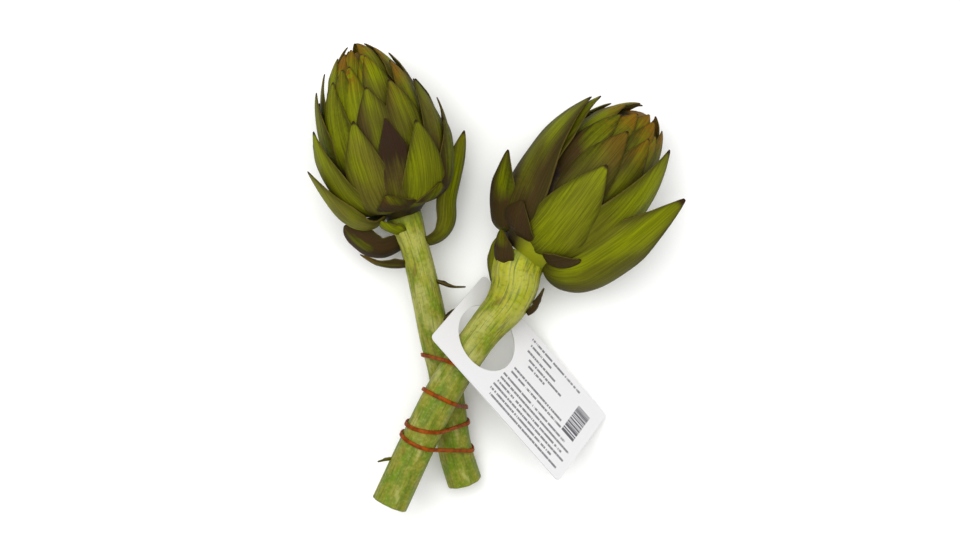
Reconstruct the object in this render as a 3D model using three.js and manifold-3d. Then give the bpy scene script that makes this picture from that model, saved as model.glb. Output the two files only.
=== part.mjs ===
// Two artichokes laid on a surface with their stems crossed, tied by four turns of rubber band,
// with a paper tag threaded on the upper stem. Millimetres, +Z up, the flower heads towards +Y.
//
// Each head is a bud of overlapping bracts. A bract is a thin cupped blade whose midrib follows the
// bud's meridian from its buried root to its free tip, and the bracts climb the bud at the golden
// angle. The heads and the lower stem press on the surface, which flattens a small spot under each.
import * as THREE from "three";
import { mergeVertices } from "three/addons/utils/BufferGeometryUtils.js";
import Module from "manifold-3d";

const wasm = await Module();
wasm.setup();

const { lerp, degToRad } = THREE.MathUtils;
const point = (x, y, z) => new THREE.Vector3(x, y, z);

// ---- Driving dimensions ------------------------------------------------------------------------

const CLEARANCE = 0.3; // between any two pieces that touch
const GOLDEN_ANGLE = 180 * (3 - Math.sqrt(5)); // degrees
const SAME_PLACE = 1e-4; // points this near each other are one
const ROUGHNESS = { head: 0.55, stem: 0.5, band: 0.6, tag: 0.7 };

// Places are measured from the point of the surface under the crossing of the stems, and the whole
// part then moves by this much, so that its origin is under the middle of its box.
const TIE_FROM_ORIGIN = point(-29.2, -67.2, 0);

// A head: where its bud starts, where it ends, and the bud's outer form. lowPower and highPower say
// how square its shoulders are below and above its widest place. Bracts climb it in a spiral; pairs
// of numbers run from the first bract, at the neck, to the last one, at the tip.
const HEADS = {
  left: {
    base: point(-22.4, 102.7, 31.9),
    tip: point(-48.8, 196, 46),
    radius: 35.8,
    widest: 0.39,
    lowPower: 3.4,
    highPower: 1.55,
    neckRadius: 10.8,
    bracts: 44,
    firstAzimuth: 20,
    tips: [0.43, 1],
    length: [54, 32],
    width: [34, 14],
    lift: [5, 1.6],
    seed: 3,
    colour: "#5f6326",
  },
  right: {
    base: point(44.5, 80.5, 34),
    tip: point(116.2, 161.3, 38),
    radius: 35,
    widest: 0.42,
    lowPower: 3.2,
    highPower: 1.7,
    neckRadius: 15,
    bracts: 34,
    firstAzimuth: 60,
    tips: [0.45, 0.95],
    length: [70, 36],
    width: [42, 16],
    lift: [4, 1],
    seed: 8,
    colour: "#5d621c",
  },
};

const BRACT = {
  sink: 5.5, // how deep a root starts under the bud's outer form
  rootWidth: 0.5, // share of the full width
  widestAt: 0.42, // share of the length
  taper: 1.7, // how full the blade stays towards its tip
  tipWidth: 0.035, // share of the full width
  rootThickness: 2.2,
  tipThickness: 0.9,
  thinnerEdge: 0.3, // share of the thickness lost at the edges
  cup: 0.88, // how much tighter a bract curves across than the bud does
  leastCurve: 9, // its tightest radius across
  leastRadius: 4, // near its tip the bud counts as this wide
  leastSlope: 0.3, // and its outward normal as leaning this far from the axis
  rootPower: 1.8, // how soon a root comes up out of the bud
  liftPower: 1.6, // how late the tip lifts off it
};
// How much the spiral's bracts vary: their azimuth in degrees, the rest as shares.
const VARIATION = { azimuth: 5, length: 0.06, lift: 0.25, width: 0.08 };
const LARGE_BRACTS = 0.55; // share of the spiral whose bracts are large
const LARGE_WIDTH = 23; // a placed bract wider than this has the finer grid
const LARGE_GRID = { rows: 5, columns: 4 };
const SMALL_GRID = { rows: 4, columns: 2 };
const LOOSE_ROWS = 7;
const SMALL_LEAF = 20; // a leaf up to this wide has fewer columns
const CORE = { depth: 3.4, steps: 14, sides: 24 }; // depth inside the bud's outer form

// The large bracts on top of each head, each at its own place: its azimuth at the tip, how much
// further round its root is, the height of its tip, and its size. Azimuth 0 faces up, 90 faces
// right. The spiral leaves this stretch of the bud to them.
const PLACED_BRACTS = {
  left: [
    { azimuth: -64, lean: 8, tip: 57, length: 68, width: 34, lift: 7 },
    { azimuth: -19, lean: -4, tip: 59, length: 82, width: 31, lift: 3.5 },
    { azimuth: 10, lean: -6, tip: 56, length: 80, width: 30, lift: 3 },
    { azimuth: 34, lean: -3, tip: 50, length: 74, width: 32, lift: 5 },
    { azimuth: 72, lean: 0, tip: 47, length: 68, width: 36, lift: 4 },
    { azimuth: 63, lean: -6, tip: 71, length: 74, width: 28, lift: 4 },
    { azimuth: -78, lean: 4, tip: 76, length: 50, width: 30, lift: 6 },
    { azimuth: -88, lean: 2, tip: 85, length: 46, width: 26, lift: 4.5 },
    { azimuth: -50, lean: 7, tip: 81, length: 56, width: 26, lift: 2.5 },
    { azimuth: 1, lean: -3, tip: 74, length: 50, width: 26, lift: 2.5 },
    { azimuth: 31, lean: -2, tip: 75, length: 54, width: 26, lift: 2.5 },
    { azimuth: -20, lean: 0, tip: 87, length: 44, width: 20, lift: 2 },
    { azimuth: 55, lean: -3, tip: 84, length: 42, width: 18, lift: 3 },
    { azimuth: 12, lean: 0, tip: 92, length: 40, width: 19, lift: 1.5 },
    { azimuth: -44, lean: 0, tip: 94, length: 36, width: 17, lift: 1.5 },
    { azimuth: -8, lean: 10, tip: 17, length: 22, width: 24, lift: 1.2 },
    { azimuth: 46, lean: -8, tip: 15, length: 20, width: 22, lift: 1.2 },
  ],
  right: [
    { azimuth: 3, lean: 12, tip: 66, length: 84, width: 37, lift: 4 },
    { azimuth: 51, lean: 2, tip: 92, length: 100, width: 41, lift: 10 },
    { azimuth: -65, lean: 22, tip: 86, length: 100, width: 40, lift: 10 },
    { azimuth: -62, lean: 8, tip: 90, length: 60, width: 24, lift: 9 },
    { azimuth: -4, lean: 4, tip: 88, length: 64, width: 28, lift: 2 },
    { azimuth: -30, lean: 4, tip: 93, length: 52, width: 22, lift: 2 },
    { azimuth: 27, lean: 2, tip: 93, length: 48, width: 22, lift: 2 },
    { azimuth: -14, lean: 0, tip: 99, length: 40, width: 20, lift: 2 },
    { azimuth: 22, lean: 0, tip: 101, length: 40, width: 20, lift: 3 },
    { azimuth: 60, lean: 0, tip: 101, length: 38, width: 20, lift: 2.5 },
    { azimuth: -105, lean: 0, tip: 106.8, length: 34, width: 20, lift: 0.4 },
    { azimuth: 120, lean: 0, tip: 106.8, length: 34, width: 22, lift: 0.8 },
    { azimuth: -34, lean: 6, tip: 23, length: 26, width: 26, lift: 1.2 },
    { azimuth: 48, lean: -4, tip: 20, length: 24, width: 24, lift: 1.4 },
  ],
};
const PLACED_REACH = { azimuth: 88, height: 0.86 }; // height as a share of the bud's

// Bracts that stand away from the bud. The midrib is a curve in a meridian plane of the head, given
// by [radius, height] points from the head's axis and base. A twist turns a blade about its midrib.
const LOOSE_BRACTS = {
  left: [
    {
      azimuth: -76,
      midrib: [[11, 2], [19, -1.5], [28, 1], [35.5, 9], [41, 22.7], [45.5, 39.3]],
      width: 40,
      curve: 24,
      widestAt: 0.6,
    },
  ],
  right: [
    {
      azimuth: 62,
      twist: 32,
      midrib: [[13, 5], [20, 2], [30.5, 7], [38.5, 17], [45, 37], [48.5, 54], [52.5, 82.5]],
      width: 50,
      curve: 24,
      widestAt: 0.5,
    },
    {
      azimuth: -68,
      twist: -22,
      midrib: [[13, 7], [18, 4], [24, 6], [34, 16.5], [40.5, 26], [48, 38.5]],
      width: 32,
      curve: 24,
    },
  ],
};

// A stem: its centre line from the head to the cut end, its radius at the neck, below it and at the
// cut end, the share of its length over which the neck narrows, and its number of ribs.
const STEMS = {
  left: {
    line: [
      point(-22.4, 102.7, 31.9),
      point(-16.4, 85, 29.5),
      point(-9.2, 54.7, 26),
      point(-4.4, 31.9, 22.6),
      point(0, 14.8, 20.5),
      point(2.4, -2.5, 18.2),
      point(6.4, -31.5, 13.5),
      point(11.8, -50.2, 9.2),
    ],
    radius: [10.1, 8.1, 10.1],
    flare: 0.12,
    ribs: 9,
    colour: "#8a8f3c",
  },
  right: {
    line: [
      point(44.5, 80.5, 34),
      point(41.4, 71.7, 34.8),
      point(40, 62.8, 35.5),
      point(34.9, 52, 36.4),
      point(25.2, 40.5, 37.5),
      point(15.6, 27.4, 38.3),
      point(-1.8, 0, 39),
      point(-15.2, -27.4, 37.9),
      point(-30.2, -59.8, 37),
    ],
    radius: [14.4, 9.8, 10.3],
    flare: 0.36,
    ribs: 10,
    colour: "#929838",
  },
};
const RIB_DEPTH = 0.055; // share of the radius
const STEM_STEPS = 16; // rings along a stem
const SIDES_PER_RIB = 3;

// Small leaves and withered stubs on the stems: the share of the stem's length where each grows, and
// its midrib by [distance from the centre line, distance back towards the head] points.
const STEM_LEAVES = {
  left: [
    {
      at: 0.11,
      azimuth: 90,
      twist: 40,
      midrib: [[4, 0], [10.5, -1.2], [18.5, 1], [24, 8.5], [27, 18], [33.6, 29.6], [39.5, 41], [45.8, 53.5]],
      width: 21,
      curve: 14,
      widestAt: 0.72,
      rootWidth: 0.3,
    },
    {
      at: 0.08,
      azimuth: -86,
      twist: -48,
      midrib: [[3, 0], [9.5, -2.2], [18, -2.6], [25.3, 2.4], [30.5, 10.5], [33.5, 18]],
      width: 21,
      curve: 16,
      widestAt: 0.72,
    },
    { at: 0.05, azimuth: -45, midrib: [[5, -2], [11, 2], [15, 5], [19, 11]], width: 16, curve: 12 },
    {
      at: 0.178,
      azimuth: -86,
      twist: -30,
      midrib: [[4, 0], [8.5, 0.5], [15.2, 1.8], [22.5, 5], [31, 12.5]],
      width: 11,
      curve: 8,
    },
    { at: 0.25, azimuth: 90, midrib: [[3, 1], [9, -2], [15, -6], [23, -8]], width: 6, curve: 5 },
    { at: 0.385, azimuth: 90, midrib: [[2, -9], [7, -4], [11, 0], [15, 3]], width: 12, curve: 8 },
  ],
  right: [
    {
      at: 0.1,
      azimuth: -86,
      twist: -40,
      midrib: [[9, -2], [12.5, 6], [13.8, 14], [13.8, 23]],
      width: 20,
      curve: 12,
      rootWidth: 0.8,
    },
    {
      at: 0.04,
      azimuth: -50,
      midrib: [[9, -6], [14.5, 0], [17.5, 7], [20.5, 15]],
      width: 19,
      curve: 13,
      rootWidth: 0.8,
    },
    {
      at: 0.1,
      azimuth: 90,
      twist: 30,
      midrib: [[9, -17], [13, -13], [14.5, -8], [16.5, -1]],
      width: 7,
      curve: 6,
    },
    { at: 0.85, azimuth: -90, midrib: [[5, 2], [11, -1], [16, -5]], width: 4, curve: 4 },
  ],
};

// The turns of rubber band: a point that each plane passes through, the way the plane faces as
// seen from above, and how far it leans.
const BANDS = [
  { through: point(-12.6, -26.1, 46), heading: 24, lean: 12.8 },
  { through: point(-8.2, -17.7, 46.5), heading: 10, lean: 11.9 },
  { through: point(2.4, -1.0, 47), heading: 25.6, lean: -1.5 },
  { through: point(-1, 20.5, 28), heading: 20, lean: -5 },
];
const BAND = { width: 2.2, thickness: 1.3, gap: 0.6, steps: 28, colour: "#a2491c" };
const HALVINGS = 30; // steps of the search for the place where a band's plane cuts a stem

const TAG = {
  length: 109,
  width: 60,
  thickness: 0.8,
  corner: 3,
  holeRadius: 19.5,
  holeFromEnd: 24.8,
  nearCorner: point(-6.6, 34.8, 59.6),
  along: point(0.648, -0.745, -0.157),
  across: point(0.488, 0.565, -0.665),
  colour: "#ecebe8",
};

// ---- Closed meshes and solids ------------------------------------------------------------------

// Joins rings of equal numbers of points into one closed mesh, with a fan at each end, or back onto
// the first ring if it is a loop. Each ring runs anticlockwise as seen from the next one.
function loft(rings, isLoop = false) {
  const sides = rings[0].length;
  const points = rings.flat();
  const triangles = [];
  const spans = isLoop ? rings.length : rings.length - 1;
  for (let i = 0; i < spans; i++) {
    const here = i * sides;
    const next = ((i + 1) % rings.length) * sides;
    for (let j = 0; j < sides; j++) {
      const k = (j + 1) % sides;
      triangles.push(here + j, here + k, next + k);
      triangles.push(here + j, next + k, next + j);
    }
  }
  if (!isLoop) {
    const lastRing = (rings.length - 1) * sides;
    for (const [first, isStart] of [[0, true], [lastRing, false]]) {
      const ring = points.slice(first, first + sides);
      const centre = points.length;
      points.push(ring.reduce((sum, p) => sum.add(p), point(0, 0, 0)).divideScalar(sides));
      for (let j = 0; j < sides; j++) {
        const k = (j + 1) % sides;
        if (isStart) triangles.push(centre, first + k, first + j);
        else triangles.push(centre, first + j, first + k);
      }
    }
  }
  const geometry = new THREE.BufferGeometry().setFromPoints(points);
  geometry.setIndex(triangles);
  return geometry;
}

function solidOf(geometry) {
  const bare = geometry.clone();
  bare.deleteAttribute("normal");
  bare.deleteAttribute("uv");
  const merged = mergeVertices(bare, SAME_PLACE);
  return new wasm.Manifold(
    new wasm.Mesh({
      numProp: 3,
      vertProperties: new Float32Array(merged.attributes.position.array),
      triVerts: new Uint32Array(merged.index.array),
    }),
  );
}

const largestBody = (solid) =>
  solid.decompose().reduce((best, body) => (body.volume() > best.volume() ? body : best));

function meshOf(name, solid, colour, roughness) {
  const { vertProperties, triVerts } = solid.getMesh();
  const geometry = new THREE.BufferGeometry();
  geometry.setAttribute("position", new THREE.BufferAttribute(vertProperties, 3));
  geometry.setIndex(new THREE.BufferAttribute(triVerts, 1));
  geometry.computeVertexNormals();
  const material = new THREE.MeshStandardMaterial({ color: colour, roughness, metalness: 0 });
  const mesh = new THREE.Mesh(geometry, material);
  mesh.name = name;
  return mesh;
}

// A repeatable random number from 0 to 1.
function chance(number, seed) {
  const wave = Math.sin(number * 12.9898 + seed * 78.233) * 43758.5453;
  return wave - Math.floor(wave);
}

// ---- Bracts ------------------------------------------------------------------------------------

const OUTLINE_STEPS = 120; // points of a bud's outline

// A frame with Z along an axis, X facing up and Y to the right.
function frameAt(origin, axis) {
  const front = point(0, 0, 1).addScaledVector(axis, -axis.z).normalize();
  const right = axis.clone().cross(front);
  return new THREE.Matrix4().makeBasis(front, right, axis).setPosition(origin);
}

// The bud's outer form as a curve of [radius, height] from the neck to the tip, two quarter
// superellipses that meet at the widest place.
function budProfile(head) {
  const height = head.tip.distanceTo(head.base);
  const widestHeight = head.widest * height;
  const outline = [];
  for (let i = 0; i <= OUTLINE_STEPS; i++) {
    const angle = (Math.PI * i) / OUTLINE_STEPS;
    const isLow = i < OUTLINE_STEPS / 2;
    const power = 2 / (isLow ? head.lowPower : head.highPower);
    const reach = isLow ? widestHeight : height - widestHeight;
    const radius = head.radius * Math.sin(angle) ** power;
    const rise = -Math.sign(Math.cos(angle)) * reach * Math.abs(Math.cos(angle)) ** power;
    if (radius >= head.neckRadius || !isLow) outline.push(new THREE.Vector2(radius, widestHeight + rise));
  }
  return outline;
}

// Follows an outline by its length, and gives the place and the outward normal there.
function follow(outline) {
  const lengths = [0];
  for (let i = 1; i < outline.length; i++) {
    lengths.push(lengths[i - 1] + outline[i].distanceTo(outline[i - 1]));
  }
  const total = lengths[lengths.length - 1];
  const lengthAt = (height) => lengths[outline.findIndex((place) => place.y >= height)];
  const at = (distance) => {
    const along = Math.min(Math.max(distance, 0), total);
    let i = 1;
    while (i < lengths.length - 1 && lengths[i] < along) i++;
    const share = (along - lengths[i - 1]) / (lengths[i] - lengths[i - 1]);
    const place = outline[i - 1].clone().lerp(outline[i], share);
    const way = outline[i].clone().sub(outline[i - 1]).normalize();
    return { place, normal: new THREE.Vector2(way.y, -way.x) };
  };
  return { total, lengthAt, at };
}

// Half of a blade's width, as a share of its widest, at a share of its length.
function halfWidth(share, widestAt, rootWidth) {
  if (share < widestAt) return lerp(rootWidth, 1, Math.sin((Math.PI / 2) * (share / widestAt)));
  const rest = (share - widestAt) / (1 - widestAt);
  return Math.max(1 - rest ** BRACT.taper, BRACT.tipWidth);
}

// A blade in a frame at its bud or stem. midrib(share) gives its place and normal in the meridian
// plane and the radius that it curves across with.
function blade(shape, midrib, { rows, columns, grow = 0 }) {
  const { azimuth, lean = 0, twist = 0, width } = shape;
  const { widestAt = BRACT.widestAt, rootWidth = BRACT.rootWidth } = shape;
  const backColumns = columns / 2;
  const rings = [];
  for (let i = 0; i <= rows; i++) {
    const share = i / rows;
    const angle = degToRad(azimuth + lean * (1 - share));
    const radial = point(Math.cos(angle), Math.sin(angle), 0);
    const sideways = point(-Math.sin(angle), Math.cos(angle), 0);
    const { place, normal, curve } = midrib(share);
    if (i === rows) place.add(new THREE.Vector2(-normal.y, normal.x).multiplyScalar(grow));
    const middle = radial.clone().multiplyScalar(place.x).setZ(place.y);
    const out = radial.clone().multiplyScalar(normal.x).setZ(normal.y);
    const about = sideways.clone().cross(out);
    sideways.applyAxisAngle(about, degToRad(twist));
    out.applyAxisAngle(about, degToRad(twist));
    const half = (width / 2) * halfWidth(share, widestAt, rootWidth) + grow;
    const face = (u, side) => {
      const full = lerp(BRACT.rootThickness, BRACT.tipThickness, share);
      const thickness = full * (1 - BRACT.thinnerEdge * u * u) + 2 * grow;
      const turn = (u * half) / curve;
      return middle
        .clone()
        .addScaledVector(sideways, curve * Math.sin(turn))
        .addScaledVector(out, (side * thickness) / 2 - curve * (1 - Math.cos(turn)));
    };
    const ring = [];
    for (let j = 0; j <= columns; j++) ring.push(face(-1 + (2 * j) / columns, 1));
    for (let j = backColumns; j >= 0; j--) ring.push(face(-1 + (2 * j) / backColumns, -1));
    rings.push(ring);
  }
  return solidOf(loft(rings));
}

// A bract whose midrib lies along the bud and lifts off it towards the tip.
function budBract(bud, bract, isLarge) {
  const { tip, length, lift } = bract;
  const midrib = (share) => {
    const { place, normal } = bud.at(tip - length * (1 - share));
    const rise = lift * share ** BRACT.liftPower - BRACT.sink * (1 - share) ** BRACT.rootPower;
    place.addScaledVector(normal, rise);
    const bulge = Math.max(place.x, BRACT.leastRadius) / Math.max(normal.x, BRACT.leastSlope);
    return { place, normal, curve: Math.max(BRACT.cup * bulge, BRACT.leastCurve) };
  };
  return blade(bract, midrib, isLarge ? LARGE_GRID : SMALL_GRID);
}

// The spiral's bracts, without those that the placed ones stand in for.
function spiralBracts(head, bud) {
  const pieces = [];
  for (let i = 0; i < head.bracts; i++) {
    const rank = i / (head.bracts - 1);
    const vary = (kind) => chance(i, head.seed + kind) * 2 - 1;
    const tip = bud.total * lerp(...head.tips, rank);
    const azimuth = head.firstAzimuth + GOLDEN_ANGLE * i + VARIATION.azimuth * vary(2);
    const fromTop = Math.abs(THREE.MathUtils.euclideanModulo(azimuth + 180, 360) - 180);
    const isLow = bud.at(tip).place.y < PLACED_REACH.height * head.tip.distanceTo(head.base);
    if (isLow && fromTop < PLACED_REACH.azimuth) continue;
    const shape = {
      azimuth,
      tip,
      length: Math.min(lerp(...head.length, rank) * (1 + VARIATION.length * vary(0)), tip - 1),
      lift: lerp(...head.lift, rank) * (1 + VARIATION.lift * vary(1)),
      width: lerp(...head.width, rank) * (1 + VARIATION.width * vary(3)),
    };
    pieces.push(budBract(bud, shape, rank < LARGE_BRACTS));
  }
  return pieces;
}

// A bract or leaf whose midrib is a curve of its own.
function looseBlade(shape, grow = 0) {
  const line = new THREE.SplineCurve(shape.midrib.map((pair) => new THREE.Vector2(...pair)));
  const midrib = (share) => {
    const way = line.getTangent(share);
    return { place: line.getPoint(share), normal: new THREE.Vector2(way.y, -way.x), curve: shape.curve };
  };
  const { columns } = shape.width > SMALL_LEAF ? LARGE_GRID : SMALL_GRID;
  return blade(shape, midrib, { rows: LOOSE_ROWS, columns, grow });
}

// The buried middle of the bud, which every bract grows from.
function budCore(head, bud) {
  const profile = [new THREE.Vector2(0, 0), new THREE.Vector2(head.neckRadius - 1, 0)];
  for (let i = 1; i < CORE.steps; i++) {
    const { place, normal } = bud.at((bud.total * i) / CORE.steps);
    place.addScaledVector(normal, -CORE.depth);
    if (place.x > 1) profile.push(place);
  }
  profile.push(new THREE.Vector2(0, head.tip.distanceTo(head.base) - CORE.depth));
  const core = new THREE.LatheGeometry(profile, CORE.sides);
  core.rotateX(Math.PI / 2); // the lathe turns about Y, the head about Z
  return solidOf(core);
}

// Everything below the surface, which is cut off.
const SURFACE = { size: 600, depth: 100 };
const surfaceBlock = new THREE.BoxGeometry(SURFACE.size, SURFACE.size, SURFACE.depth);
surfaceBlock.translate(0, 0, -SURFACE.depth / 2);

function buildHead(side) {
  const head = HEADS[side];
  const bud = follow(budProfile(head));
  const pieces = [budCore(head, bud), ...spiralBracts(head, bud)];
  for (const bract of PLACED_BRACTS[side]) {
    const tip = bud.lengthAt(bract.tip);
    const shape = { ...bract, tip, length: Math.min(bract.length, tip - 1) };
    pieces.push(budBract(bud, shape, bract.width > LARGE_WIDTH));
  }
  for (const bract of LOOSE_BRACTS[side]) pieces.push(looseBlade(bract));
  const frame = frameAt(head.base, head.tip.clone().sub(head.base).normalize());
  const whole = wasm.Manifold.union(pieces).transform(frame.elements);
  return largestBody(whole.subtract(solidOf(surfaceBlock)).subtract(buildStem(side, CLEARANCE)));
}

// ---- Stems -------------------------------------------------------------------------------------

// Narrows from the neck to the middle, then widens a little to the cut end.
function stemRadius({ radius: [neck, below, end], flare }, share) {
  if (share < flare) return lerp(neck, below, 0.5 - 0.5 * Math.cos(Math.PI * (share / flare)));
  return lerp(below, end, (share - flare) / (1 - flare));
}

// A stem with its leaves. Grown by the clearance, it is the room that its head leaves for it.
function buildStem(side, grow = 0) {
  const stem = STEMS[side];
  const line = new THREE.CatmullRomCurve3(stem.line);
  const sides = stem.ribs * SIDES_PER_RIB;
  const { normals, binormals } = line.computeFrenetFrames(STEM_STEPS);
  const rings = [];
  for (let i = 0; i <= STEM_STEPS; i++) {
    // the first ring keeps clear of the head's flat neck
    const share = i === 0 ? (CLEARANCE - grow) / line.getLength() : i / STEM_STEPS;
    const middle = line.getPointAt(share);
    const ring = [];
    for (let j = 0; j < sides; j++) {
      const angle = (2 * Math.PI * j) / sides;
      const groove = 0.5 - 0.5 * Math.cos(stem.ribs * angle);
      const radius = stemRadius(stem, share) * (1 - RIB_DEPTH * groove) + grow;
      ring.push(
        middle
          .clone()
          .addScaledVector(normals[i], radius * Math.cos(angle))
          .addScaledVector(binormals[i], radius * Math.sin(angle)),
      );
    }
    rings.push(ring);
  }
  const leaves = STEM_LEAVES[side].map((leaf) => {
    const frame = frameAt(line.getPointAt(leaf.at), line.getTangentAt(leaf.at).negate());
    return looseBlade(leaf, grow).transform(frame.elements);
  });
  const whole = wasm.Manifold.union([solidOf(loft(rings)), ...leaves]);
  return largestBody(whole.subtract(solidOf(surfaceBlock)));
}

// ---- Rubber bands ------------------------------------------------------------------------------

// The ellipse in which a plane cuts a stem: its centre, and its two half axes.
function stemSection(stem, through, normal) {
  const line = new THREE.CatmullRomCurve3(stem.line);
  const side = (share) => line.getPointAt(share).sub(through).dot(normal);
  let [low, high] = [0, 1];
  for (let i = 0; i < HALVINGS; i++) {
    const middle = (low + high) / 2;
    if (side(low) * side(middle) <= 0) high = middle;
    else low = middle;
  }
  const way = line.getTangentAt(low);
  const radius = stemRadius(stem, low);
  const long = way.clone().addScaledVector(normal, -way.dot(normal)).normalize();
  return {
    way,
    centre: line.getPointAt(low),
    long: long.clone().multiplyScalar(radius / Math.abs(way.dot(normal))),
    short: normal.clone().cross(long).multiplyScalar(radius),
  };
}

// A band pulled tight round both stems: it follows the convex outline of their two sections.
function buildBand({ through, heading, lean }) {
  const turn = degToRad(heading);
  const tilt = degToRad(lean);
  const normal = point(Math.sin(turn) * Math.cos(tilt), Math.cos(turn) * Math.cos(tilt), Math.sin(tilt));
  const level = point(0, 0, 1).cross(normal).normalize();
  const upright = normal.clone().cross(level);
  const sections = Object.values(STEMS).map((stem) => stemSection(stem, through, normal));
  const rings = [];
  for (let i = 0; i < BAND.steps; i++) {
    const angle = (2 * Math.PI * (i + 0.5)) / BAND.steps;
    const out = level.clone().multiplyScalar(Math.cos(angle)).addScaledVector(upright, Math.sin(angle));
    const [first, second] = sections.map(({ way, centre, long, short }) => {
      const reach = Math.hypot(out.dot(long), out.dot(short));
      const from = long.clone().multiplyScalar(out.dot(long)).addScaledVector(short, out.dot(short));
      from.divideScalar(reach);
      const lift = from.clone().addScaledVector(way, -from.dot(way)).normalize();
      return { place: centre.clone().add(from), lift };
    });
    const { place, lift } = first.place.dot(out) > second.place.dot(out) ? first : second;
    const flat = normal.clone().cross(out).cross(lift).normalize();
    const corners = [[1, -1], [1, 1], [-1, 1], [-1, -1]];
    rings.push(
      corners.map(([high, wide]) =>
        place
          .clone()
          .addScaledVector(lift, BAND.gap + (BAND.thickness * (1 + high)) / 2)
          .addScaledVector(flat, (BAND.width * wide) / 2),
      ),
    );
  }
  return solidOf(loft(rings, true));
}

// ---- Tag ---------------------------------------------------------------------------------------

function arc(x, y, radius, from, to, steps) {
  const points = [];
  for (let i = 0; i <= steps; i++) {
    const angle = degToRad(lerp(from, to, i / steps));
    points.push(new THREE.Vector2(x + radius * Math.cos(angle), y + radius * Math.sin(angle)));
  }
  return points;
}

function buildTag() {
  const { length, width, corner, thickness } = TAG;
  const outline = new THREE.Shape([
    ...arc(length - corner, corner, corner, -90, 0, 3),
    ...arc(length - corner, width - corner, corner, 0, 90, 3),
    ...arc(corner, width - corner, corner, 90, 180, 3),
    ...arc(corner, corner, corner, 180, 270, 3),
  ]);
  const hole = arc(TAG.holeFromEnd, width / 2, TAG.holeRadius, 0, 350, 35); // 36 sides
  outline.holes.push(new THREE.Path(hole));
  const plate = new THREE.ExtrudeGeometry(outline, { depth: thickness, bevelEnabled: false });
  const along = TAG.along.clone().normalize();
  const across = TAG.across.clone().addScaledVector(along, -TAG.across.dot(along)).normalize();
  const normal = along.clone().cross(across);
  plate.applyMatrix4(new THREE.Matrix4().makeBasis(along, across, normal).setPosition(TAG.nearCorner));
  return solidOf(plate);
}

// ---- The whole part ----------------------------------------------------------------------------

const artichokes = new THREE.Group();
for (const side of ["left", "right"]) {
  artichokes.add(meshOf(`head_${side}`, buildHead(side), HEADS[side].colour, ROUGHNESS.head));
  artichokes.add(meshOf(`stem_${side}`, buildStem(side), STEMS[side].colour, ROUGHNESS.stem));
}
BANDS.forEach((band, i) => {
  artichokes.add(meshOf(`rubber_band_${i + 1}`, buildBand(band), BAND.colour, ROUGHNESS.band));
});
artichokes.add(meshOf("paper_tag", buildTag(), TAG.colour, ROUGHNESS.tag));
for (const piece of artichokes.children) piece.position.copy(TIE_FROM_ORIGIN);

export default artichokes;
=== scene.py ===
# %% [markdown]
# # Two artichokes tied by their stems
#
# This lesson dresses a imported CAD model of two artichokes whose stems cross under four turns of
# rubber band, with a paper tag threaded on the upper stem. The CAD solids stay as the frame. Finer
# pieces stand in for them: thin cupped bracts, ribbed stems, rounded bands and a printed card.
#
# The part's sizes are in millimetres, measured from the point of the surface under the crossing of
# the stems. Each piece is moved and scaled to the frame's metres when its mesh is finished. The
# lights and the floor are given in metres, from the frame's origin.

# %% Load the frame
import bisect
import math

import bmesh
import bpy
from mathutils import Matrix, Vector


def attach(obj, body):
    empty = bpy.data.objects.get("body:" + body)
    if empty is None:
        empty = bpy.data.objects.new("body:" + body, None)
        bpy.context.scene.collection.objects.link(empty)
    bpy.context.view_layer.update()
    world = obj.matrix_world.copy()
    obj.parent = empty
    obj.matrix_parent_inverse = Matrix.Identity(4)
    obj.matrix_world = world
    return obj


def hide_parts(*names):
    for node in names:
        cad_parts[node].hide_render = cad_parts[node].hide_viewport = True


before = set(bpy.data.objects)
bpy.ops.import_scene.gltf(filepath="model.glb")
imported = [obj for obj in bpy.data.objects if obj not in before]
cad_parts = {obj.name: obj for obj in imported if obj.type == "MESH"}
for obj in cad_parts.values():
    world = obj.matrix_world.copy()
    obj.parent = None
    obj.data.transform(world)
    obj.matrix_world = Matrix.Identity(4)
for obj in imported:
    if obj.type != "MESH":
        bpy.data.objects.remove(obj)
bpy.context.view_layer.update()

MM = 0.001
UP = Vector((0, 0, 1))
TIE_FROM_ORIGIN = Vector((-29.2, -67.2, 0))
TO_FRAME = Matrix.Scale(MM, 4) @ Matrix.Translation(TIE_FROM_ORIGIN)
print("CAD nodes:", sorted(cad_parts))

# %% [markdown]
# ## Camera, light and floor
#
# The camera looks straight down from 1.1 m, with the flower heads at the top of the frame. A large
# soft light above and to the left, a weaker one on the right and a pale world light the part, and
# the floor is plain and almost white.

# %% Camera
CAMERA = {"over": Vector((20.7, 71.7, 1100)), "lens": 71.1, "sensor": 36}


def add_object(name, data):
    """Puts a camera, a light or a mesh into the scene."""
    made = bpy.data.objects.new(name, data)
    bpy.context.scene.collection.objects.link(made)
    return made


camera = add_object("camera", bpy.data.cameras.new("camera"))
camera.location = TO_FRAME @ CAMERA["over"]
camera.data.lens = CAMERA["lens"]
camera.data.sensor_width = CAMERA["sensor"]
bpy.context.scene.camera = camera
print("camera at", camera.location)

# %% Lights and world
LIGHTS = {
    "key": {"at": (-0.25, 0.22, 1.25), "size": 1.1, "watts": 15.6},
    "fill": {"at": (0.8, 0.1, 0.9), "size": 1.0, "watts": 3.6},
}
WORLD_COLOUR = (1.0, 1.0, 1.0, 1)
WORLD_STRENGTH = 0.5


def add_light(name, at, size, watts):
    """A square area light that faces the middle of the part."""
    data = bpy.data.lights.new(name, "AREA")
    data.size = size
    data.energy = watts
    light = add_object(name, data)
    light.location = at
    light.rotation_euler = (-Vector(at)).to_track_quat("-Z", "Y").to_euler()


for name, light in LIGHTS.items():
    add_light(name, **light)

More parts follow.
